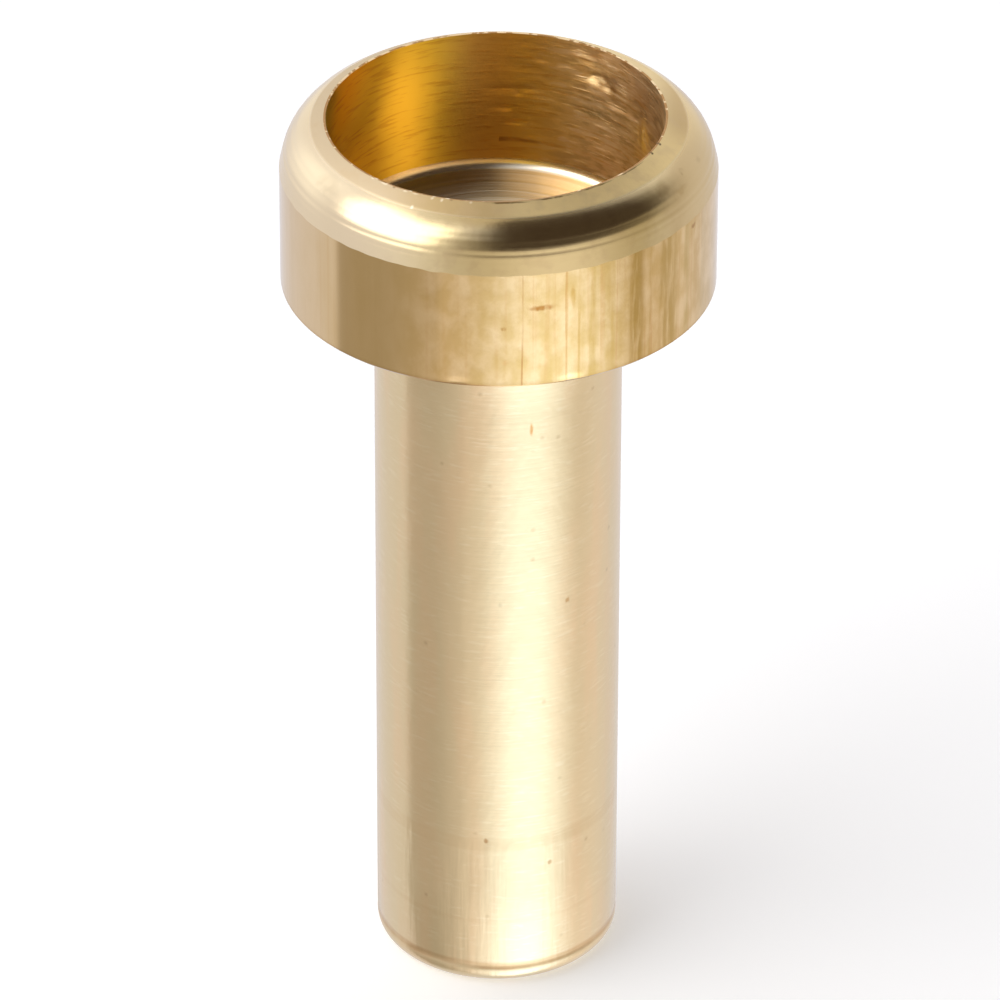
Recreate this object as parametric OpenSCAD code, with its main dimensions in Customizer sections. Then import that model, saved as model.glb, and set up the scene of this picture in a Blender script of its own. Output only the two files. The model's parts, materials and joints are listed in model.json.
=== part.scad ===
// Solder nipple for the end of a control cable: one piece, turned from drawn brass bar.
// The cable runs up through the shank, its strands spread in the cup and solder fills it.
// Millimetres. The part stands on its shank's end, with +Z along its axis.

/* [Head] */
// Diameter of the head, which keeps the skin of the drawn bar
head_d = 7; // [6.4:0.1:9]
// Height of the head, from its underside to the rim of the cup
head_h = 2.95; // [2:0.05:6]
// Radius of the rounded shoulder
shoulder_r = 0.85; // [0.3:0.05:1.2]
// Slope of the lip between the shoulder and the cup, in degrees
lip_angle = 28; // [10:1:40]
// Depth of metal that the shoulder's tool takes off the bar's skin
skim = 0.02; // [0.01:0.01:0.1]
// Size of the broken edge around the head's underside
head_edge = 0.04; // [0.02:0.01:0.3]

/* [Cup] */
// Diameter of the cup
cup_d = 5.4; // [4:0.1:5.8]
// Metal left between the head's underside and the foot of the cup's wall
cup_base = 0.5; // [0.4:0.05:1.5]
// Included angle of the drill point that leaves the cup's floor, in degrees
floor_angle = 135; // [118:1:170]

/* [Shank] */
// Diameter of the shank
shank_d = 4; // [3.4:0.1:4.6]
// Length of the shank, from its end to the underside of the head
shank_len = 12.55; // [6:0.05:30]
// Radius in the corner between the shank and the head
root_r = 0.15; // [0.05:0.01:0.4]
// Radius around the shank's end
end_r = 0.3; // [0.05:0.05:0.4]

/* [Cable bore] */
// Diameter of the bore that the cable runs through
bore_d = 2.2; // [1.2:0.1:2.6]
// Size of the 45 degree chamfer where the cable enters
bore_chamfer = 0.2; // [0.05:0.05:0.3]

/* [Hidden] */
$fn = 96;
over = 1; // how far a cut runs past the face that it opens
head_r = head_d / 2;
shank_r = shank_d / 2;
cup_r = cup_d / 2;
bore_r = bore_d / 2;
turned_r = head_r - skim;
total_h = shank_len + head_h;
foot_z = shank_len + cup_base;
floor_drop = (cup_r - bore_r) / tan(floor_angle / 2);
// the shoulder's arc touches the lip no nearer the axis than the cup's rim
round_r = min(shoulder_r, (turned_r - cup_r) / (1 - sin(lip_angle)));
arc_r = turned_r - round_r;
touch_r = arc_r + round_r * sin(lip_angle);
touch_z = total_h - (touch_r - cup_r) * tan(lip_angle);
shoulder_z = touch_z - round_r * cos(lip_angle);

// What lies between a square corner at the origin and an arc that touches both its sides
module corner(r) {
    difference() {
        square(r);
        translate([r, r]) circle(r = r);
    }
}

// Half section of the shank, with its rounded end and the radius under the head
module shank_section() {
    difference() {
        square([shank_r, shank_len]);
        translate([shank_r, 0]) mirror([1, 0]) corner(end_r);
    }
    translate([shank_r, shank_len]) mirror([0, 1]) corner(root_r);
}

// Half section of the head as if it were solid: bar, shoulder and lip
module head_section() {
    difference() {
        translate([0, shank_len]) square([head_r, shoulder_z - shank_len]);
        translate([head_r, shank_len]) rotate(45) square(head_edge * sqrt(2), center = true);
    }
    translate([arc_r, shoulder_z]) circle(r = round_r);
    polygon([
        [0, shoulder_z],
        [arc_r, shoulder_z],
        [touch_r, touch_z],
        [cup_r, total_h],
        [0, total_h]
    ]);
}

// Half section of the hollow: the cable bore, its chamfer, the drill point and the cup
module hollow_section() {
    polygon([
        [0, -over],
        [bore_r + bore_chamfer + over, -over],
        [bore_r, bore_chamfer],
        [bore_r, foot_z - floor_drop],
        [cup_r, foot_z],
        [cup_r, total_h + over],
        [0, total_h + over]
    ]);
}

module nipple_body() {
    color([0.78, 0.66, 0.42])
    rotate_extrude()
    difference() {
        union() {
            shank_section();
            head_section();
        }
        hollow_section();
    }
}

nipple_body();
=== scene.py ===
import json
import math
import bpy
import numpy as np
from mathutils import Matrix, Vector


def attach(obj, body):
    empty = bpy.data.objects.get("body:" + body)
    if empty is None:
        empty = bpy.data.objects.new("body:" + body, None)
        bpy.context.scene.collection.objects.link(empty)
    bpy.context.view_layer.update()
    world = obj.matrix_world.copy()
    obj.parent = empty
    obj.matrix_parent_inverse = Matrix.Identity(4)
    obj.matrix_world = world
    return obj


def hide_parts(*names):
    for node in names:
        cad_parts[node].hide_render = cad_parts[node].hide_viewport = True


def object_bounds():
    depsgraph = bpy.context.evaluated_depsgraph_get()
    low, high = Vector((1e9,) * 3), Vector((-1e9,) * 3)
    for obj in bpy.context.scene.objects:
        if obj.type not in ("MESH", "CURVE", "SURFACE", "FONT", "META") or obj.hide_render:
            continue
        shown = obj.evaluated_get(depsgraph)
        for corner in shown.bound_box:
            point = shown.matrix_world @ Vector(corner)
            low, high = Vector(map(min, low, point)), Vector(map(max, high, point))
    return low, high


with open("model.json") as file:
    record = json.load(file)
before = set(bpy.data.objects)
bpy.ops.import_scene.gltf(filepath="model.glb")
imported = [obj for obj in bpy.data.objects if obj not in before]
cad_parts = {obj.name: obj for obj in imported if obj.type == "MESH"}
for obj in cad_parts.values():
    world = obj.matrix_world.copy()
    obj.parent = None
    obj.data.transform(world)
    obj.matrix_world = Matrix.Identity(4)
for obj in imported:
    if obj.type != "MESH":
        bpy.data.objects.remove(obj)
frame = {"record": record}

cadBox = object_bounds()
low, high = cadBox
mm = 0.001  # Blender's unit here is the metre
mounts = {m["name"]: m for m in frame["record"]["mounts"]}


def radiusOf(mount):  # a mount's radius in mm
    return mounts[mount]["dims"]["r_mm"]


# the camera
camera = {
    "distance": 137.53,   # mm from the aim point
    "elevation": 32.09,   # degrees above the horizon
    "aimHeight": 8.28,    # mm up the nipple's axis
    "lens": 303.6,        # mm
    "sensor": 36,         # mm wide
    "roll": 0.166,        # degrees
    "shiftX": 0.0022,     # share of the picture's width
    "clip": (0.01, 2),    # m, the nearest and the farthest that it shows
}


def makeCamera(c):
    data = bpy.data.cameras.new("camera")
    data.lens = c["lens"]
    data.sensor_width = c["sensor"]
    data.shift_x = c["shiftX"]
    data.clip_start, data.clip_end = c["clip"]
    cam = bpy.data.objects.new("camera", data)
    bpy.context.scene.collection.objects.link(cam)
    e = math.radians(c["elevation"])
    away = Vector((0, -math.cos(e), math.sin(e)))
    aim = Vector((0, 0, c["aimHeight"] * mm))
    roll = Matrix.Rotation(math.radians(c["roll"]), 3, "Z")
    turn = (-away).to_track_quat("-Z", "Y").to_matrix() @ roll
    cam.matrix_world = Matrix.Translation(aim + away * c["distance"] * mm) @ turn.to_4x4()
    bpy.context.scene.camera = cam


makeCamera(camera)
print("camera set")

# the nipple's shape, in mm and degrees
body = {
    # from the frame
    "headR": (high.x - low.x) / 2 / mm,
    "totalH": high.z / mm,
    "shankR": radiusOf("shank"),
    "shankLen": mounts["head_underside"]["pos_m"][2] / mm,
    "cupR": radiusOf("cup"),
    "cupDepth": mounts["cup"]["dims"]["length_mm"],
    "boreR": radiusOf("cable_bore"),
    # the small forms, as the solid has them
    "endR": 0.3,                    # round the shank's end
    "rootR": 0.15,                  # in the corner between the shank and the head
    "headEdge": 0.04,               # the broken edge round the head's underside
    "skim": 0.02,                   # what the form tool took off the bar
    "shoulderR": 0.85,
    "lipAngle": 28,
    "floorAngle": 135,              # of the drill's point
    "boreChamfer": 0.2,
    # the forms that only this model has
    "shoulderStart": 10,            # up the shoulder's arc, where the form tool first cut the bar
    "footR": 0.17,                  # the fillet at the foot of the cup's wall
    "rimR": 0.035,                  # how far the rim's edge runs out over the lip
    "rimDrops": (0.55, 0.7),        # how far its outer and inner sides lie below the top, as shares of rimR
    "cupShift": (-0.051, -0.007),   # the cup was bored a little off the bar's centre
    "endLine": 0.4,                 # up the shank, where the rounding tool stopped
    "endLineDepth": 0.007,
    "endLineHalf": 0.02,            # half the line's width
    "endLineFade": 0.04,            # the slope above it
    "edgeBand": 0.25,               # above the head's underside, where the rows lie closer for the dents
    "lipClear": 0.001,              # how far the lip stays below the top
    # the grid
    "around": 500,                  # points in a row
    "sharpTurn": 11.5,              # an edge round the nipple is sharp where the section turns by more
    "seed": 7,
    # wear
    # tool lines round the shoulder: height below the top, depth, half width
    "toolLines": [(0.36, 0.004, 0.03), (0.46, 0.003, 0.03), (0.6, 0.006, 0.03), (0.71, 0.004, 0.03)],
    # plucked and dented places: zone, degrees round from the front, height, half width, half height, depth;
    # one with a depth below 0 stands up
    "dents": [
        ("wall", 143, 14.97, 0.26, 0.13, 0.085), ("wall", 138, 14.84, 0.12, 0.06, 0.03),
        ("wall", 137, 15.03, 0.1, 0.04, 0.025), ("wall", 148, 15.08, 0.16, 0.04, 0.025),
        ("wall", 141, 14.88, 0.08, 0.04, -0.02), ("wall", 146, 14.93, 0.08, 0.04, 0.025),
        ("wall", 147, 15.25, 0.24, 0.05, -0.03), ("wall", 128, 14.6, 0.3, 0.05, 0.012),
        ("wall", 134, 14.5, 0.35, 0.04, -0.02), ("wall", 119, 14.35, 0.06, 0.22, -0.015),
        ("bar", 1.3, 13.62, 0.03, 0.03, 0.006),
        ("bar", -10.5, 12.62, 0.1, 0.04, 0.008), ("bar", 19, 12.6, 0.12, 0.04, 0.01),
    ],
    # torn places in the cup's wall: how many, half width, half height, depth, the share of them on the left
    "tears": [(80, 0.25, 0.045, 0.01, 0.25), (60, 0.07, 0.035, 0.012, 0)],
    "tearsLeft": (-165, 85),        # from the back round the left and the front, degrees
    "tearsRight": (85, 182),        # from the right to the back
    "tearsKeepOff": (0.25, 0.05),   # how far they stay from the wall's foot and from the top
    "tearWidths": (0.5, 1.5),       # each one's width is drawn between these shares of its half width
    "tearDepths": (-0.6, 1),        # and its depth between these
    # the rim's burr
    "burr": 0.02,                   # about the most that it stands up
    "burrLean": 0.3,                # how far it leans into the cup, as a share of its height
    "burrWaves": 90,                # how fine it is: the most waves round the rim
    "burrMore": 0.25,               # lifts its wobble, so that more of the rim has some
    "burrPlaces": [(130, 35, 1), (328, 16, 0.8)],  # where it's most: degrees round, half width, share
    "burrElsewhere": 0.15,          # the share anywhere else
    # the ragged start of the form tool's cut
    "runOut": 0.012,                # how far it strays up and down
    "runOutWaves": 60,
    "runOutRows": 4,                # rows that stray, each less than the one before it
}


def line(a, b, n):
    # n points from a towards b, b left out: a + (b - a) t
    t = np.arange(n)[:, None] / n
    return np.array(a) + (np.array(b) - np.array(a)) * t


def arc(centre, r, start, end, n):
    # n points on a circle between two angles, the last left out: centre + r (cos t, sin t)
    t = np.radians(start + (end - start) * np.arange(n) / n)
    return np.stack([centre[0] + r * np.cos(t), centre[1] + r * np.sin(t)], 1)


def makeSection(b):
    # the closed half section, radius and height: up the outside, over the rim, down the cup and the bore
    lip = math.radians(b["lipAngle"])
    headR, shankR, cupR, boreR = b["headR"], b["shankR"], b["cupR"], b["boreR"]
    endR, rootR, edge, under, top = b["endR"], b["rootR"], b["headEdge"], b["shankLen"], b["totalH"]
    # the shoulder's arc touches the turned head and the lip's cone
    arcR = headR - b["skim"] - b["shoulderR"]
    touchR = arcR + b["shoulderR"] * math.sin(lip)
    touchZ = top - (touchR - cupR) * math.tan(lip)
    shoulderZ = touchZ - b["shoulderR"] * math.cos(lip)
    first = math.radians(b["shoulderStart"])
    start = (arcR + b["shoulderR"] * math.cos(first), shoulderZ + b["shoulderR"] * math.sin(first))
    rimOut = (cupR + b["rimR"], top - b["rimR"] * b["rimDrops"][0])
    rimIn = (cupR, top - b["rimR"] * b["rimDrops"][1])
    # the drill point's cone falls from the wall's foot to the bore, and the fillet touches it and the wall
    footZ = top - b["cupDepth"]
    slope = 90 - b["floorAngle"] / 2
    fall = math.radians(slope)
    throatZ = footZ - (cupR - boreR) * math.tan(fall)
    foot = b["footR"] * math.tan(math.radians((90 - slope) / 2))
    footEnd = (cupR - foot * math.cos(fall), footZ - foot * math.sin(fall))
    mouth = boreR + b["boreChamfer"]
    # the line near the shank's end
    grooveR = shankR - b["endLineDepth"]
    grooveLow, grooveTop = b["endLine"] - b["endLineHalf"], b["endLine"] + b["endLineHalf"]
    fadeTop = grooveTop + b["endLineFade"]
    bandTop = under + b["edgeBand"]
    # each zone's stretches, with how many rows each has
    parts = [
        ("end", line((mouth, 0), (shankR - endR, 0), 3)),
        ("shank", arc((shankR - endR, endR), endR, -90, 0, 12)),
        ("shank", line((shankR, endR), (grooveR, grooveLow), 2)),
        ("shank", line((grooveR, grooveLow), (grooveR, grooveTop), 1)),
        ("shank", line((grooveR, grooveTop), (shankR, fadeTop), 1)),
        ("shank", line((shankR, fadeTop), (shankR, under - rootR), 9)),
        ("shank", arc((shankR + rootR, under - rootR), rootR, 180, 90, 9)),
        ("under", line((shankR + rootR, under), (headR - edge, under), 4)),
        ("bar", line((headR - edge, under), (headR, under + edge), 2)),
        ("bar", line((headR, under + edge), (headR, bandTop), 6)),
        ("bar", line((headR, bandTop), (headR, shoulderZ), 12)),
        ("turned", line((headR, shoulderZ), start, b["runOutRows"])),
        ("turned", arc((arcR, shoulderZ), b["shoulderR"], b["shoulderStart"], 90 - b["lipAngle"], 30)),
        ("lip", line((touchR, touchZ), rimOut, 7)),
        ("rim", line(rimOut, rimIn, 3)),
        ("wall", line(rimIn, (cupR, footZ + foot), 70)),
        ("foot", arc((cupR - b["footR"], footZ + foot), b["footR"], 0, slope - 90, 9)),
        ("floor", line(footEnd, (boreR, throatZ), 9)),
        ("bore", line((boreR, throatZ), (boreR, b["boreChamfer"]), 3)),
        ("bore", line((boreR, b["boreChamfer"]), (mouth, 0), 1)),
    ]
    points = np.concatenate([p for _, p in parts])
    zones = np.array([name for name, p in parts for _ in range(len(p))])
    return points, zones


def roundNoise(a, waves, random, count=40, spread=1.6):
    # a wobble round the axis: count cosines cos(n a + phase) added up, n drawn from 2 to waves, then divided
    # by spread times the root of count, which keeps it mostly between -1 and 1
    n = random.integers(2, waves, count)[:, None]
    phase = random.uniform(0, 2 * np.pi, (count, 1))
    return np.cos(n * a + phase).sum(0) / np.sqrt(count) / spread


def dentDepth(a, r, z, degrees, height, halfWidth, halfHeight, depth):
    # depth exp(-(across / half width)^2 - (up / half height)^2), across being the way round at radius r
    across = (np.mod(a - math.radians(degrees) + np.pi, 2 * np.pi) - np.pi) * r
    return depth * np.exp(-(across / halfWidth) ** 2 - ((z - height) / halfHeight) ** 2)


def wearDown(b, zones, a, r, z):
    # tool lines, dents, tears, the rim's burr and the run-out of the form tool's cut, added to r and z
    random = np.random.default_rng(b["seed"])
    turned, wall, bar = ((zones == name)[:, None] for name in ("turned", "wall", "bar"))

    # a tool line lowers r by depth exp(-((z - its height) / half width)^2)
    for below, depth, halfWidth in b["toolLines"]:
        r -= turned * depth * np.exp(-((z - b["totalH"] + below) / halfWidth) ** 2)

    # a dent goes into the metal, which is outwards in the cup and inwards on the bar
    into = {"wall": wall * 1, "bar": bar * -1}
    r += sum(into[zone] * dentDepth(a, r, z, *dent) for zone, *dent in b["dents"])
    wallFoot = b["totalH"] - b["cupDepth"]
    for count, halfWidth, halfHeight, depth, leftShare in b["tears"]:
        pick = random.random(count)
        left = random.uniform(*b["tearsLeft"], count)
        right = random.uniform(*b["tearsRight"], count)
        degrees = np.where(pick < leftShare, left, right)
        lowest, highest = wallFoot + b["tearsKeepOff"][0], b["totalH"] - b["tearsKeepOff"][1]
        heights = random.uniform(lowest, highest, count)
        widths = halfWidth * random.uniform(*b["tearWidths"], count)
        depths = depth * random.uniform(*b["tearDepths"], count)
        tears = zip(degrees, heights, widths, [halfHeight] * count, depths)
        r += wall * sum(dentDepth(a, r, z, *tear) for tear in tears)

    # the burr: the rim's middle row rises and leans in where a wobble is high, most of all at its places
    wobble = np.clip(roundNoise(a, b["burrWaves"], random) + b["burrMore"], 0, 1)
    where = b["burrElsewhere"]
    for degrees, halfWidth, share in b["burrPlaces"]:
        where = where + share * np.exp(-((np.degrees(a) - degrees) / halfWidth) ** 2)
    burrRow = np.flatnonzero(zones == "rim")[1]
    z[burrRow] += b["burr"] * wobble * where
    r[burrRow] -= b["burrLean"] * b["burr"] * wobble * where

    # the form tool's cut starts raggedly on the bar: its first rows stray up and down, less and less
    stray = b["runOut"] * np.clip(roundNoise(a, b["runOutWaves"], random), -1, 1)
    for k, one in enumerate(np.flatnonzero(zones == "turned")[:b["runOutRows"]]):
        z[one] += stray * (1 - k / b["runOutRows"])


def placeRows(b, zones, a, r, z):
    # x = r sin a, y = -r cos a, z as it is, with the cup's rows moved sideways by its shift: all of it on the
    # wall, the rim and the foot, growing along the lip, and fading down the floor to the bore
    share = np.isin(zones, ("wall", "rim", "foot")).astype(float)
    lipRows, floorRows = np.flatnonzero(zones == "lip"), np.flatnonzero(zones == "floor")
    share[lipRows] = np.arange(len(lipRows)) / len(lipRows)
    share[floorRows] = 1 - np.arange(len(floorRows)) / len(floorRows)
    x = r * np.sin(a) + b["cupShift"][0] * share[:, None]
    y = -r * np.cos(a) + b["cupShift"][1] * share[:, None]
    # the lip and the rim follow the cone: z falls by tan(lip) for each mm that a point moved out
    drop = (np.hypot(x, y) - r) * math.tan(math.radians(b["lipAngle"]))
    onLip = (zones == "lip")[:, None]
    onCone = np.isin(zones, ("lip", "rim"))[:, None]
    z = z - np.where(onCone, drop * share[:, None], 0)
    z = np.where(onLip, np.minimum(z, b["totalH"] - b["lipClear"]), z)
    wallTop = np.flatnonzero(zones == "wall")[0]
    z[wallTop] -= drop[wallTop]
    return np.stack([x, y, z], 2) * mm


def markSharp(mesh, section, rowLength, least):
    # an edge round the nipple is sharp where the section turns by more than least degrees
    along = np.roll(section, -1, 0) - section
    heading = np.unwrap(np.arctan2(along[:, 1], along[:, 0]))
    turn = np.abs(np.mod(heading - np.roll(heading, 1) + np.pi, 2 * np.pi) - np.pi)
    ends = np.empty(len(mesh.edges) * 2, np.int32)
    mesh.edges.foreach_get("vertices", ends)
    rows = ends.reshape(-1, 2) // rowLength
    sharp = (rows[:, 0] == rows[:, 1]) & (turn > math.radians(least))[rows[:, 0]]
    mesh.attributes.new("sharp_edge", "BOOLEAN", "EDGE").data.foreach_set("value", sharp)


def makeNipple(b, finishes):
    # the section carried round the axis from the front, a grid of rows that closes both ways
    section, zones = makeSection(b)
    nAlong, nAround = len(section), b["around"]
    a = 2 * np.pi * np.arange(nAround) / nAround
    r = np.repeat(section[:, 0][:, None], nAround, 1)
    z = np.repeat(section[:, 1][:, None], nAround, 1)
    wearDown(b, zones, a, r, z)
    points = placeRows(b, zones, a, r, z)

    i, j = np.meshgrid(np.arange(nAlong), np.arange(nAround), indexing="ij")
    nextI, nextJ = (i + 1) % nAlong, (j + 1) % nAround
    corners = [(i, j), (i, nextJ), (nextI, nextJ), (nextI, j)]
    quads = np.stack([row * nAround + column for row, column in corners], 2)
    mesh = bpy.data.meshes.new("nippleBody")
    mesh.from_pydata(points.reshape(-1, 3), [], quads.reshape(-1, 4).tolist())
    names = list(finishes)
    for name in names:
        mesh.materials.append(finishes[name])
    index = np.repeat([names.index(zone) for zone in zones], nAround)
    mesh.polygons.foreach_set("material_index", index.astype(np.int32))
    mesh.shade_smooth()
    markSharp(mesh, section, nAround, b["sharpTurn"])
    piece = bpy.data.objects.new("nippleBody", mesh)
    bpy.context.scene.collection.objects.link(piece)
    return piece


def hexColour(text, level=1):
    # sRGB hex to linear, times a level: c / 12.92 below 0.04045, else ((c + 0.055) / 1.055) ^ 2.4
    c = [int(text[k:k + 2], 16) / 255 for k in (1, 3, 5)]
    return [(v / 12.92 if v <= 0.04045 else ((v + 0.055) / 1.055) ** 2.4) * level for v in c] + [1]


def addNode(tree, kind, inputs={}, **settings):
    # a node with its settings; an input is a value, or a socket to link from
    node = tree.nodes.new(kind)
    for name, value in settings.items():
        setattr(node, name, value)
    for name, value in inputs.items():
        if isinstance(value, bpy.types.NodeSocket):
            tree.links.new(value, node.inputs[name])
        else:
            node.inputs[name].default_value = value
    return node


def allOf(tree, *parts):
    # the parts multiplied; a part is a socket, a number, or a soft ramp (socket, start, end), which goes
    # smoothly from 0 at start to 1 at end, or between two other levels if they follow
    product = None
    for part in parts:
        if isinstance(part, tuple):
            value, start, end, *levels = part
            least, most = levels or (0, 1)
            ramp = {"Value": value, "From Min": start, "From Max": end, "To Min": least, "To Max": most}
            part = addNode(tree, "ShaderNodeMapRange", ramp, interpolation_type="SMOOTHSTEP").outputs[0]
        if product is not None:
            part = addNode(tree, "ShaderNodeMath", {0: product, 1: part}, operation="MULTIPLY").outputs[0]
        product = part
    return product


def grainOf(tree, place, pattern):
    # noise whose grains measure pattern["grain"] = (x, y, z) in mm
    scale = [1 / (size * mm) for size in pattern["grain"]]
    at = addNode(tree, "ShaderNodeMapping", {"Vector": place, "Scale": scale}).outputs[0]
    inputs = {"Vector": at, "Scale": 1, "Detail": pattern.get("detail", 2)}
    return addNode(tree, "ShaderNodeTexNoise", inputs).outputs["Fac"]


def raised(tree, shader, pattern, *heights):
    # a bump on what is there already: the pattern's depth in mm times the heights
    inputs = {"Height": allOf(tree, *heights), "Distance": pattern["depth"] * mm, "Strength": 1}
    bump = addNode(tree, "ShaderNodeBump", inputs)
    before = shader.inputs["Normal"].links
    if before:
        tree.links.new(before[0].from_socket, bump.inputs["Normal"])
    tree.links.new(bump.outputs[0], shader.inputs["Normal"])


def tinted(tree, shader, coat, value, *masks):
    # a coat of colour on what is there already, by how far value is along the coat's ramp, times the masks
    # and the coat's share
    old = shader.inputs["Base Color"]
    first = old.links[0].from_socket if old.links else list(old.default_value)
    amount = allOf(tree, (value, *coat["ramp"]), *masks, coat.get("share", 1))
    inputs = {0: amount, 6: first, 7: hexColour(coat["colour"])}
    both = addNode(tree, "ShaderNodeMix", inputs, data_type="RGBA")
    tree.links.new(both.outputs[2], old)


def inMm(tree, place):
    # the three coordinates in mm
    scaled = addNode(tree, "ShaderNodeVectorMath", {0: place, "Scale": 1 / mm}, operation="SCALE")
    return addNode(tree, "ShaderNodeSeparateXYZ", {0: scaled.outputs[0]}).outputs


def degreesRound(tree, axes):
    # how far round from the front, in degrees: arctan2(x, -y)
    front = addNode(tree, "ShaderNodeMath", {0: axes["Y"], 1: -1}, operation="MULTIPLY").outputs[0]
    turn = addNode(tree, "ShaderNodeMath", {0: axes["X"], 1: front}, operation="ARCTAN2").outputs[0]
    return addNode(tree, "ShaderNodeMath", {0: turn}, operation="DEGREES").outputs[0]


def startBrass(name, look):
    # a metal whose tangent runs round the axis; rotation 0.25 turns its sheen to stretch along the nipple,
    # across the tool marks
    material = bpy.data.materials.new(name)
    material.use_nodes = True
    tree = material.node_tree
    shader = tree.nodes["Principled BSDF"]
    shader.inputs["Base Color"].default_value = hexColour(look["colour"])
    shader.inputs["Metallic"].default_value = 1
    shader.inputs["Roughness"].default_value = look["roughness"]
    shader.inputs["Anisotropic"].default_value = look["anisotropic"]
    shader.inputs["Anisotropic Rotation"].default_value = look["rotation"]
    tangent = addNode(tree, "ShaderNodeTangent", direction_type="RADIAL", axis="Z")
    tree.links.new(tangent.outputs[0], shader.inputs["Tangent"])
    place = addNode(tree, "ShaderNodeTexCoord").outputs["Object"]
    return material, tree, shader, place


# The finishes: lengths in mm, bearings in degrees round from the front (right is plus), shares from 0 to 1.
# A pattern has the size of its grains along x, y and z, and the depth of its bump. A coat has its colour, the
# ramp that it follows and its share. Marks are stains and scratches: bearing, height, half width in degrees,
# half height in mm, share and colour.
# How marks fray: a noise moves them within spans of sway degrees and lift mm, and weakens them to least where
# it is low, between the two levels of fade. A mark has its full share within solid of its half sizes.
fray = {"grain": (0.1, 0.1, 0.3), "detail": 3, "sway": 1.2, "lift": 0.1,
        "fade": (0.3, 0.6), "least": 0.4, "solid": 0.3}
ringFray = {**fray, "grain": (0.8, 0.8, 0.8)}
allRound = 400  # a mark this many degrees wide reaches nearly evenly all round
# a form tool's own lines lie about 0.01 mm apart, too fine to show, so they are drawn three times as coarse
toolRings = {"grain": (2, 2, 0.03), "depth": 0.001}

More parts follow.
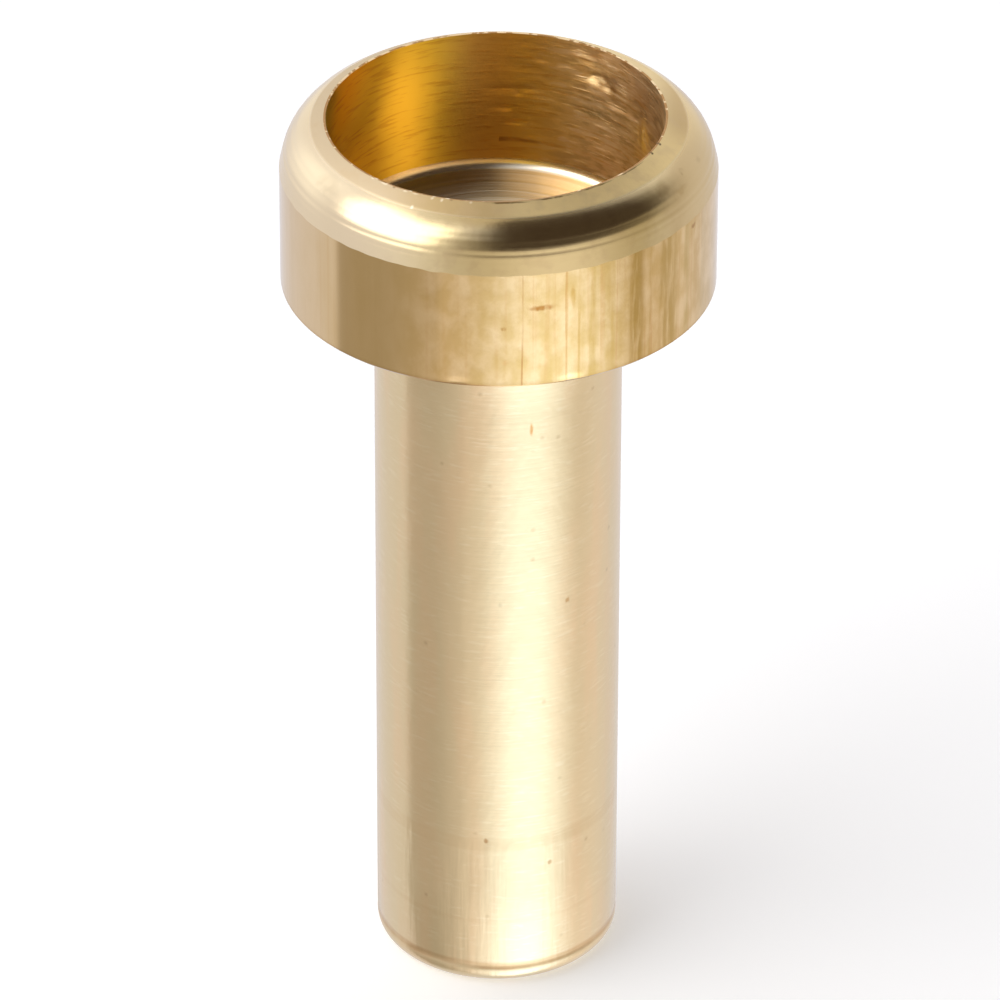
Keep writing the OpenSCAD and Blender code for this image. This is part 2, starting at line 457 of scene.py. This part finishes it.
looks = {
    "shank": {
        "colour": "#E6CFA2", "roughness": 0.23, "anisotropic": 0.55, "rotation": 0.25,
        "finishZ": 2.83, "finishBlur": 0.15,         # how high the shank was rubbed, and how softly that ends
        "finishBand": (0.1, 0.12),                   # half height and share of the band there
        "faintZ": 1.3, "faintBand": (0.015, 0.1),    # a faint line below it
        "bandBlur": 0.05, "band": "#D4B07C",
        "wave": {"grain": (0.5, 0.5, 0.9), "detail": 3, "depth": 0.007},
        "turnedRing": {"grain": (1.5, 1.5, 0.05), "depth": 0.0006},
        "rubbedStreak": {"grain": (0.12, 0.12, 1.5), "depth": 0.005},
        "blush": {"grain": (0.5, 0.5, 3), "ramp": (0.4, 0.7), "share": 0.35, "colour": "#F2CC9E"},
        "scratch": {"grain": (0.3, 0.3, 0.04), "detail": 3, "ramp": (0.54, 0.7), "share": 0.2,
                    "colour": "#F6E8C4"},
        "pit": {"spacing": 0.6, "ramp": (0.1, 0.02), "share": 0.25, "colour": "#A88C60"},
        # brown specks; and in the groove where the rounding tool stopped, a brown line of painted shade
        "marks": [(15.5, 10.82, 1.2, 0.15, 0.8, "#C88A40"), (-5, 2.92, 1.6, 0.06, 0.7, "#A87C48"),
                  (26, 2.37, 1.6, 0.06, 0.6, "#A87C48"), (34.6, 7.42, 1.6, 0.07, 0.6, "#B88848")],
        "rings": [(0, 0.4, allRound, 0.1, 0.5, "#BE9058")]},
    "end": {"colour": "#F3DCA6", "roughness": 0.3, "anisotropic": 0.6, "rotation": 0.25},
    "under": {"colour": "#F3DCA6", "roughness": 0.3, "anisotropic": 0.6, "rotation": 0.25},
    "bar": {
        "colour": "#DFBE86", "roughness": 0.11, "anisotropic": 0.0, "rotation": 0.0,
        "lined": (-1.4, 1.6, 0.25, 1),       # along x: the lines are stronger on the right
        "mottled": (-1.9, -0.8, 0.1, 1),     # and the mottling is nearly gone at the far left
        "fine": {"grain": (0.07, 0.07, 4), "detail": 3, "depth": 0.0008},
        "broad": {"grain": (0.35, 0.35, 4)},
        "blotch": {"grain": (0.3, 0.3, 0.45), "detail": 6, "depth": 0.001},
        # painted sheen: the bar paler at its far left
        "left": {"ramp": (-2.2, -2.9), "colour": "#E2C69A"},   # along x, and so are the other finishes' sides
        "broadOlive": {"ramp": (0.48, 0.66), "share": 0.5, "colour": "#C8A45C"},
        "fineRed": {"ramp": (0.54, 0.7), "share": 0.4, "colour": "#CC9C60"},
        "blotchOlive": {"ramp": (0.44, 0.68), "share": 0.5, "colour": "#C8A45C"},
        "blotchLight": {"ramp": (0.5, 0.3), "share": 0.45, "colour": "#F0D2A0"},
        "fray": {**fray, "grain": (0.1, 0.1, 0.8), "least": 0.2, "sway": 0.8},
        # lines along the bar, broader dull stripes on the right and a few stains; then brown painted shade on
        # the lower edge
        "marks": [(6.2, 13.5, 0.35, 4, 0.55, "#AE7434"), (11.5, 13.97, 4.8, 0.07, 0.95, "#AC7434"),
                  (1.3, 13.62, 1.1, 0.05, 0.7, "#B08040"), (1.9, 13.0, 1.3, 0.07, 0.4, "#D09858"),
                  (17.8, 13.6, 0.5, 4, 0.5, "#BC8840"), (19.5, 14.1, 1, 0.3, 0.6, "#BC9040"),
                  (21.3, 13.4, 0.5, 4, 0.5, "#BC9040"), (25, 13.6, 1.3, 4, 0.5, "#C09C50"),
                  (31, 13.6, 1, 4, 0.4, "#C8A458"), (38.5, 13.6, 3.4, 4, 0.8, "#B08C44"),
                  (43, 13.6, 1, 4, 0.4, "#B89848"), (50, 13.6, 5.5, 4, 0.75, "#B4924A"),
                  (58, 13.6, 1.6, 4, 0.5, "#BCA058"), (68, 13.6, 2.5, 4, 0.3, "#C8B080"),
                  (61.4, 14.46, 1.5, 0.06, 0.8, "#A87C3C")],
        "rings": [(0, 12.5, allRound, 0.16, 0.6, "#A07844")]},
    "turned": {
        "colour": "#F3DCA8", "roughness": 0.2, "anisotropic": 0.5, "rotation": 0.25,
        "cloud": {"grain": (0.25, 0.25, 0.25), "detail": 3, "depth": 0.002},
        "dull": {"ramp": (0.45, 0.7), "share": 0.3, "colour": "#DCC094"},
        # along x: paler on the left, a painted highlight, and browner on the far right, painted shade
        "left": {"ramp": (-0.8, -2.4), "colour": "#EED8B2"},
        "right": {"ramp": (2.4, 2.9), "colour": "#DABF8C"},
        "fray": {**fray, "grain": (0.2, 0.2, 0.2), "sway": 4, "lift": 0.2},
        # smudges on the right, and a wide darker patch on the left, between the two highlights
        "marks": [(54, 15.22, 4, 0.1, 0.3, "#AC8C58"), (60, 15.07, 5, 0.07, 0.3, "#B49458"),
                  (65, 15.22, 1.5, 0.04, 0.4, "#AC9060"), (75, 15.13, 2, 0.04, 0.4, "#B09468"),
                  (-57, 15.2, 7, 0.15, 0.3, "#D0B690")]},
    "lip": {
        "colour": "#F3DCA8", "roughness": 0.6, "anisotropic": 0.3, "rotation": 0.25,
        "inward": (3.03, 2.97),              # the radii between which the shoulder's finish becomes the lip's
        "torn": {"grain": (0.1, 0.1, 0.1), "detail": 3, "depth": 0.003},
        "blush": {"grain": (0.3, 0.3, 0.3), "detail": 3, "ramp": (0.45, 0.7), "share": 0.3,
                  "colour": "#DCC298"},
        # painted shade: the lip darker on the left
        "left": {"ramp": (0, -0.7), "colour": "#E0CBA8"},
        # the near side of the mouth, painted shade on its left and a painted highlight on its right: ramp and
        # far go along x, near goes along y
        "nearLeft": {"ramp": (0.5, -0.3), "far": (-1.9, -0.9), "near": (-1, -2.1), "colour": "#D6BC8A"},
        "nearRight": {"ramp": (0.1, 0.8), "near": (0, -1.2), "colour": "#FCE4AA"},
        "fray": {**fray, "lift": 0.01},
        # a bright nick, two dark gaps at the right, painted shade of nicks, flecks at the near left, the
        # bright ones painted glints like the nick, and a brown line at the near right
        "marks": [(-26.8, 15.34, 0.8, 0.03, 1, "#FFF4D8"), (69.6, 15.494, 1.1, 0.014, 1, "#50381C"),
                  (63, 15.494, 0.9, 0.014, 1, "#50381C"), (-45, 15.46, 1, 0.02, 0.7, "#FFF2D8"),
                  (-40, 15.457, 1.8, 0.014, 0.8, "#FFF2D8"), (-31.5, 15.457, 0.9, 0.014, 0.7, "#FFF2D8"),
                  (-28, 15.46, 1.6, 0.012, 0.5, "#FFF2D8"), (-22, 15.457, 0.9, 0.02, 0.8, "#FFF2D8"),
                  (-18.6, 15.455, 0.8, 0.022, 0.8, "#FFF2D8"), (-9, 15.465, 0.6, 0.016, 0.6, "#FFF2D8"),
                  (-36, 15.457, 0.9, 0.012, 0.6, "#8C6430"), (-15.5, 15.467, 0.8, 0.012, 0.5, "#8C5440"),
                  (3, 15.471, 9, 0.014, 0.85, "#7A5A2C"), (18, 15.479, 9, 0.012, 0.8, "#7A5A2C"),
                  (34, 15.487, 9, 0.011, 0.8, "#7A5A2C"), (50, 15.493, 9, 0.009, 0.7, "#7A5A2C")]},
    "rim": {
        "colour": "#B88C58", "roughness": 0.4, "anisotropic": 0.0, "rotation": 0.0,
        "burr": {"grain": (0.09, 0.09, 0.09), "depth": 0.008},
        "fleck": {"grain": (0.15, 0.15, 0.15), "detail": 3, "ramp": (0.58, 0.66), "colour": "#F6DCB0"},
        # more bright flecks at the back: painted glints on the burr
        "back": (0, 1.5, 0, 0.14),           # along y: what the back adds to the flecks' noise
        # bright flecks at the near left, painted glints, and the two dark gaps, painted shade of nicks
        "marks": [(-44, 15.48, 1.2, 0.08, 1, "#FFF0D0"), (-30, 15.48, 1, 0.08, 1, "#FFF0D0"),
                  (-21.5, 15.48, 0.8, 0.08, 1, "#FFF0D0"), (-17, 15.48, 1.2, 0.08, 1, "#FFF0D0"),
                  (69.6, 15.49, 1, 0.08, 1, "#50381C"), (63, 15.49, 0.8, 0.08, 1, "#50381C")]},
    "wall": {
        "colour": "#FFE45C", "roughness": 0.28, "anisotropic": 0.7, "rotation": 0.25,
        "tornRoughness": 0.38,               # on the right, where the metal is torn
        "ring": {"grain": (0.55, 0.55, 0.05), "detail": 3, "depth": 0.003},
        "dash": {"grain": (0.4, 0.4, 0.06), "detail": 3, "ramp": (0.5, 0.7), "depth": 0.005},
        "patch": {"grain": (0.4, 0.4, 0.12), "detail": 3},
        # along x: browner from the middle rightwards, painted shade; paler and greyer on the right, a painted
        # reflection over the real torn metal
        "brown": {"ramp": (-1.2, -0.3), "colour": "#ECC16A"},
        "pale": {"ramp": (0, 2), "colour": "#EAC996"},   # along x: the torn side, on the right
        "darkPatch": {"ramp": (0.5, 0.62), "share": 0.5, "colour": "#B08C5C"},
        "lightPatch": {"ramp": (0.48, 0.36), "share": 0.8, "colour": "#F8DCB0"},
        "streak": {"ramp": (0.5, 0.68), "share": 0.36, "colour": "#C88A30"},
        # a bright patch on the raised ridge, a painted highlight, a dull one at the plucked place and painted
        # shadow below it; then a brown line low at the back
        "marks": [(119, 14.37, 5, 0.38, 0.9, "#FFD880"), (143, 14.95, 6, 0.17, 0.6, "#B89868"),
                  (145, 14.3, 9, 0.13, 0.5, "#8C7850")],
        "rings": [(180, 13.52, 22, 0.06, 0.7, "#A06838")]},
    "foot": {"colour": "#FFF2D8", "roughness": 0.26, "anisotropic": 0.6, "rotation": 0.25},
    "floor": {
        "colour": "#FAEACE", "roughness": 0.22, "anisotropic": 0.6, "rotation": 0.25,
        "ring": {"grain": (3, 3, 0.03), "depth": 0.003},
        "dull": {"ramp": (0.45, 0.65), "share": 0.4, "colour": "#D6BC88"}},
    "bore": {"colour": "#EDC67C", "roughness": 0.35, "anisotropic": 0.5, "rotation": 0.25},
}


def marked(tree, shader, place, marks, how=fray):
    # a mark is a soft ellipse round its bearing and height, gone at its half sizes
    axes = inMm(tree, place)
    noise = grainOf(tree, place, how)
    swayed = []
    for value, span in ((degreesRound(tree, axes), how["sway"]), (axes["Z"], how["lift"])):
        shift = addNode(tree, "ShaderNodeMath", {0: noise, 1: span, 2: -span / 2}, operation="MULTIPLY_ADD")
        swayed.append(addNode(tree, "ShaderNodeMath", {0: value, 1: shift.outputs[0]}).outputs[0])
    broken = allOf(tree, (noise, *how["fade"], how["least"], 1))
    for bearing, height, halfWidth, halfHeight, share, colour in marks:
        offs = []
        for value, middle, half in zip(swayed, (bearing, height), (halfWidth, halfHeight)):
            inputs = {0: value, 1: 1 / half, 2: -middle / half}  # (value - middle) / half
            offs.append(addNode(tree, "ShaderNodeMath", inputs, operation="MULTIPLY_ADD").outputs[0])
        off = addNode(tree, "ShaderNodeCombineXYZ", {"X": offs[0], "Y": offs[1]}).outputs[0]
        far = addNode(tree, "ShaderNodeVectorMath", {0: off}, operation="LENGTH").outputs["Value"]
        tinted(tree, shader, {"ramp": (1, how["solid"]), "share": share, "colour": colour}, far, broken)


def makeShankBrass(look):
    # fine turned: a satin sheen that stretches along the shank, faint rings and scratches, a few brown pits;
    # below finishZ it was rubbed lengthwise; its rings are coarser than the tool's own too, so that they show
    material, tree, shader, place = startBrass("brass, fine turned", look)
    z = inMm(tree, place)["Z"]
    below, above = look["finishZ"] - look["finishBlur"], look["finishZ"] + look["finishBlur"]
    rubbed, turned = (z, above, below), (z, below, above)
    raised(tree, shader, look["wave"], grainOf(tree, place, look["wave"]))
    raised(tree, shader, look["turnedRing"], grainOf(tree, place, look["turnedRing"]), turned)
    raised(tree, shader, look["rubbedStreak"], grainOf(tree, place, look["rubbedStreak"]), rubbed)
    tinted(tree, shader, look["blush"], grainOf(tree, place, look["blush"]))
    tinted(tree, shader, look["scratch"], grainOf(tree, place, look["scratch"]))
    for middle, (half, share) in ((look["finishZ"], look["finishBand"]), (look["faintZ"], look["faintBand"])):
        off = addNode(tree, "ShaderNodeMath", {0: z, 1: middle}, operation="SUBTRACT").outputs[0]
        far = addNode(tree, "ShaderNodeMath", {0: off}, operation="ABSOLUTE").outputs[0]
        ramp = (half + look["bandBlur"], half)
        tinted(tree, shader, {"ramp": ramp, "share": share, "colour": look["band"]}, far)
    scale = [1 / (look["pit"]["spacing"] * mm)] * 3
    at = addNode(tree, "ShaderNodeMapping", {"Vector": place, "Scale": scale}).outputs[0]
    pits = addNode(tree, "ShaderNodeTexVoronoi", {"Vector": at, "Scale": 1}).outputs["Distance"]
    tinted(tree, shader, look["pit"], pits)
    marked(tree, shader, place, look["marks"])
    # painted shade: the brown line in the end groove
    marked(tree, shader, place, look["rings"], ringFray)
    return material


def makeTurnedBrass(name, look):
    # turned or drilled and rubbed bright by the tool: soft reflections, thin rings
    material, tree, shader, place = startBrass(name, look)
    raised(tree, shader, toolRings, grainOf(tree, place, toolRings))
    return material


def makeShoulderBrass(look):
    # turned with a form tool and handled since: reflections cloudy at their edges, painted paler on the left,
    # smudged
    material, tree, shader, place = startBrass("brass, form turned", look)
    raised(tree, shader, toolRings, grainOf(tree, place, toolRings))
    cloud = grainOf(tree, place, look["cloud"])
    raised(tree, shader, look["cloud"], cloud)
    tinted(tree, shader, look["dull"], cloud)
    x = inMm(tree, place)["X"]
    # painted highlight on the left, painted shade on the far right
    tinted(tree, shader, look["left"], x)
    tinted(tree, shader, look["right"], x)
    marked(tree, shader, place, look["marks"], look["fray"])
    return material


def makeLipBrass(look, outer):
    # turned to a cone and left rough, so that it shows no clear reflections; further out it takes the
    # shoulder's look
    material, tree, shader, place = startBrass("brass, form turned lip", look)
    axes = inMm(tree, place)
    x, y = axes["X"], axes["Y"]
    flat = addNode(tree, "ShaderNodeCombineXYZ", {"X": x, "Y": y}).outputs[0]
    radius = addNode(tree, "ShaderNodeVectorMath", {0: flat}, operation="LENGTH").outputs["Value"]
    inward = allOf(tree, (radius, *look["inward"]))
    raised(tree, shader, look["torn"], grainOf(tree, place, look["torn"]), inward)
    # the shoulder's painted highlight on the left and painted shade on the far right
    tinted(tree, shader, outer["left"], x)
    tinted(tree, shader, outer["right"], x)
    # painted shade on the lip's left and near left, a painted highlight on its near right
    tinted(tree, shader, look["left"], x, inward)
    nearLeft, nearRight = look["nearLeft"], look["nearRight"]
    tinted(tree, shader, nearLeft, x, (x, *nearLeft["far"]), (y, *nearLeft["near"]), inward)
    tinted(tree, shader, nearRight, x, (y, *nearRight["near"]), inward)
    tinted(tree, shader, look["blush"], grainOf(tree, place, look["blush"]), inward)
    rough = allOf(tree, (radius, *look["inward"], outer["roughness"], look["roughness"]))
    tree.links.new(rough, shader.inputs["Roughness"])
    # among them painted glints and the painted shade of nicks
    marked(tree, shader, place, look["marks"], look["fray"])
    return material


def makeRimBrass(look):
    # the cut edge of the mouth: ragged and brown, with bright torn flecks, most of them at the back, their
    # brightness a painted glint
    material, tree, shader, place = startBrass("brass, burred edge", look)
    raised(tree, shader, look["burr"], grainOf(tree, place, look["burr"]))
    back = allOf(tree, (inMm(tree, place)["Y"], *look["back"]))
    flecks = addNode(tree, "ShaderNodeMath", {0: back, 1: grainOf(tree, place, look["fleck"])}).outputs[0]
    tinted(tree, shader, look["fleck"], flecks)
    # among them painted glints and the painted shade of nicks
    marked(tree, shader, place, look["marks"])
    return material


def makeBarBrass(look):
    # drawn bar skin: bright, redder than cut brass, with lines along the bar and yellow-brown patches on the
    # right; drawing lines are a few hundredths of a mm wide, and the finest are drawn 0.07 mm wide to show
    material, tree, shader, place = startBrass("brass, drawn bar skin", look)
    x = inMm(tree, place)["X"]
    lined, mottled = (allOf(tree, (x, *look[name])) for name in ("lined", "mottled"))
    fine, broad, blotch = (grainOf(tree, place, look[name]) for name in ("fine", "broad", "blotch"))
    raised(tree, shader, look["fine"], fine, lined)
    raised(tree, shader, look["blotch"], blotch, mottled)
    # painted sheen: paler at the far left
    tinted(tree, shader, look["left"], x)
    tinted(tree, shader, look["broadOlive"], broad, lined)
    tinted(tree, shader, look["fineRed"], fine, lined)
    tinted(tree, shader, look["blotchOlive"], blotch, mottled)
    tinted(tree, shader, look["blotchLight"], blotch, mottled)
    marked(tree, shader, place, look["marks"], look["fray"])
    # painted shade: the brown band along the lower edge
    marked(tree, shader, place, look["rings"], ringFray)
    return material


def makeWallBrass(look):
    # bored with a tool that tore the metal: brown streaks round the left, torn dashes on the right
    material, tree, shader, place = startBrass("brass, torn cup wall", look)
    x = inMm(tree, place)["X"]
    towardsTorn = (x, *look["pale"]["ramp"])
    torn = allOf(tree, towardsTorn)
    ring, dash, patch = (grainOf(tree, place, look[name]) for name in ("ring", "dash", "patch"))
    raised(tree, shader, look["ring"], ring)
    raised(tree, shader, look["dash"], (dash, *look["dash"]["ramp"]), torn)
    # painted shade browner from the middle, painted reflection paler on the torn right
    tinted(tree, shader, look["brown"], x)
    tinted(tree, shader, look["pale"], x)
    tinted(tree, shader, look["darkPatch"], patch, torn)
    tinted(tree, shader, look["lightPatch"], patch, torn)
    tinted(tree, shader, look["streak"], ring)
    # among them a painted highlight on the ridge and painted shadow under the plucked chunk
    marked(tree, shader, place, look["marks"])
    marked(tree, shader, place, look["rings"], ringFray)
    rough = allOf(tree, (*towardsTorn, look["roughness"], look["tornRoughness"]))
    tree.links.new(rough, shader.inputs["Roughness"])
    return material


def makeFloorBrass(look):
    # cut by a drill point: rings like a record's, three times as coarse as the drill's own so that they show
    material, tree, shader, place = startBrass("brass, drill point", look)
    ring = grainOf(tree, place, look["ring"])
    raised(tree, shader, look["ring"], ring)
    tinted(tree, shader, look["dull"], ring)
    return material


finishes = {
    "end": makeTurnedBrass("brass, faced end", looks["end"]),
    "shank": makeShankBrass(looks["shank"]),
    "under": makeTurnedBrass("brass, faced under the head", looks["under"]),
    "bar": makeBarBrass(looks["bar"]),
    "turned": makeShoulderBrass(looks["turned"]),
    "lip": makeLipBrass(looks["lip"], looks["turned"]),
    "rim": makeRimBrass(looks["rim"]),
    "wall": makeWallBrass(looks["wall"]),
    "foot": makeTurnedBrass("brass, drill point's corner", looks["foot"]),
    "floor": makeFloorBrass(looks["floor"]),
    "bore": makeTurnedBrass("brass, drilled bore", looks["bore"]),
}
print("brass finished in", len(finishes), "ways")

nipple = makeNipple(body, finishes)
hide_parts("nipple_body")
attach(nipple, "root")
print("nipple made", len(nipple.data.polygons) * 2, "triangles")

# the stage
stage = {
    "floorHalf": 0.35,    # m
    "drop": 0.00001,      # m, keeps the floor clear of the nipple's end
    "paper": "#F2F2F2",
    "white": 0.36,        # what the eye is given on top of the lit paper, so that it reads as white
}


def backdropRays(tree):
    # 1 for the rays that may see the white backdrop: from the camera, off metal and through glass
    path = addNode(tree, "ShaderNodeLightPath").outputs
    rays = path["Is Camera Ray"]
    for kind in ("Is Glossy Ray", "Is Transmission Ray"):
        rays = addNode(tree, "ShaderNodeMath", {0: rays, 1: path[kind]}, operation="MAXIMUM").outputs[0]
    return rays


def makeFloor(s):
    # matt pale paper: no shine, so the eye gets an even white with the nipple's soft shadow on it
    h, down = s["floorHalf"], -s["drop"]
    mesh = bpy.data.meshes.new("floor")
    mesh.from_pydata([(-h, -h, down), (h, -h, down), (h, h, down), (-h, h, down)], [], [(0, 1, 2, 3)])
    floor = bpy.data.objects.new("floor", mesh)
    bpy.context.scene.collection.objects.link(floor)
    material = bpy.data.materials.new("pale paper")
    material.use_nodes = True
    tree = material.node_tree
    tree.nodes.clear()
    paper = addNode(tree, "ShaderNodeBsdfDiffuse", {"Color": hexColour(s["paper"])})
    glow = addNode(tree, "ShaderNodeEmission", {"Strength": allOf(tree, backdropRays(tree), s["white"])})
    both = addNode(tree, "ShaderNodeAddShader", {0: paper.outputs[0], 1: glow.outputs[0]})
    addNode(tree, "ShaderNodeOutputMaterial", {"Surface": both.outputs[0]})
    mesh.materials.append(material)
    floor.visible_glossy = False  # the metal sees the table cards instead


# the room that lights dull things, how many degrees up a card's leaning edge is at its own bearing, and the
# white of the backdrop
room = {"tint": "#F6F6FF", "level": 0.88, "leanFrom": 40, "white": (1, 1, 1, 1)}
# soft cards round the nipple, each laid over the ones before it: degrees round from the front (right is plus)
# and up from the horizon, how far its edges lean and blur, its tint and its level
cards = {
    "walls": {"around": (-150, 150), "lean": (0, 0), "up": (-130, 130), "blur": (12, 12),
              "tint": "#F6F6FF", "level": 0.88},
    "table behind": {"around": (-400, 400), "lean": (0, 0), "up": (-130, -6), "blur": (20, 6),
                     "tint": "#F6F6FF", "level": 0.88},
    "front wall": {"around": (-30, 118), "lean": (-0.1, 0.5), "up": (-38, 49), "blur": (30, 12),
                   "tint": "#FFF0D0", "level": 0.43},
    "front glow": {"around": (-1, 52), "lean": (0, -0.1), "up": (-92, 36), "blur": (27, 16),
                   "tint": "#FFF8F0", "level": 0.85},
    "back left softbox": {"around": (-137, -108), "lean": (0.25, -0.1), "up": (2, 49), "blur": (14, 26),
                          "tint": "#F4F8FF", "level": 1.45},
    "ceiling": {"around": (-400, 400), "lean": (0, 0), "up": (75, 130), "blur": (18, 12),
                "tint": "#FFF2DC", "level": 0.55},
    "dark flag": {"around": (-16, 115), "lean": (0.1, 0.5), "up": (19, 130), "blur": (20, 11),
                  "tint": "#FFDCBC", "level": 0.05},
    "left softbox": {"around": (-100, -37), "lean": (-0.5, 0.15), "up": (13, 61), "blur": (9, 9),
                     "tint": "#FFFFFF", "level": 2.65},
    "table left": {"around": (-94, -31), "lean": (0, 0), "up": (-65, -28), "blur": (3, 1.3),
                   "tint": "#FFF8F0", "level": 0.47},
    "table front": {"around": (-40, 117), "lean": (0, 0), "up": (-68, -31), "blur": (28, 1.8),
                    "tint": "#FFFAFF", "level": 1.06},
    "table glow": {"around": (-3, 62), "lean": (0, 0), "up": (-78, -31), "blur": (28, 3),
                   "tint": "#D8E8FF", "level": 2.9},
}


def makeStudio(room, cards):
    # light from all round: each card is a patch between two bearings and two heights, smooth at its edges
    world = bpy.data.worlds.new("studio")
    world.use_nodes = True
    bpy.context.scene.world = world
    tree = world.node_tree
    tree.nodes.clear()
    direction = addNode(tree, "ShaderNodeTexCoord").outputs["Generated"]
    axes = addNode(tree, "ShaderNodeSeparateXYZ", {0: direction}).outputs
    around = degreesRound(tree, axes)
    rise = addNode(tree, "ShaderNodeMath", {0: axes["Z"]}, operation="ARCSINE").outputs[0]
    up = addNode(tree, "ShaderNodeMath", {0: rise}, operation="DEGREES").outputs[0]
    # behind the nipple no card stands in front of the backdrop, so the metal shows it there
    behind = {0: backdropRays(tree), 6: hexColour(room["tint"], room["level"]), 7: room["white"]}
    light = addNode(tree, "ShaderNodeMix", behind, data_type="RGBA").outputs[2]
    for card in cards.values():
        blurAround, blurUp = card["blur"]
        edges = []
        for side, sign in ((0, 1), (1, -1)):  # the edge that the card begins at, then the one that it ends at
            bearing, lean, height = card["around"][side], card["lean"][side], card["up"][side]
            # degrees past the edge: around - bearing - lean (up - leanFrom)
            leaning = {0: up, 1: -lean, 2: lean * room["leanFrom"] - bearing}
            moved = addNode(tree, "ShaderNodeMath", leaning, operation="MULTIPLY_ADD").outputs[0]
            past = addNode(tree, "ShaderNodeMath", {0: around, 1: moved}).outputs[0]
            edges.append((past, -sign * blurAround, sign * blurAround))
            edges.append((up, height - sign * blurUp, height + sign * blurUp))
        inFront = {0: allOf(tree, *edges), 6: light, 7: hexColour(card["tint"], card["level"])}
        light = addNode(tree, "ShaderNodeMix", inFront, data_type="RGBA").outputs[2]
    # the camera sees the white backdrop whatever stands there
    path = addNode(tree, "ShaderNodeLightPath").outputs
    toCamera = {0: path["Is Camera Ray"], 6: light, 7: room["white"]}
    seen = addNode(tree, "ShaderNodeMix", toCamera, data_type="RGBA").outputs[2]
    sky = addNode(tree, "ShaderNodeBackground", {"Color": seen})
    addNode(tree, "ShaderNodeOutputWorld", {"Surface": sky.outputs[0]})


makeFloor(stage)
makeStudio(room, cards)
bpy.context.scene.view_settings.view_transform = "Standard"
print("stage lit")
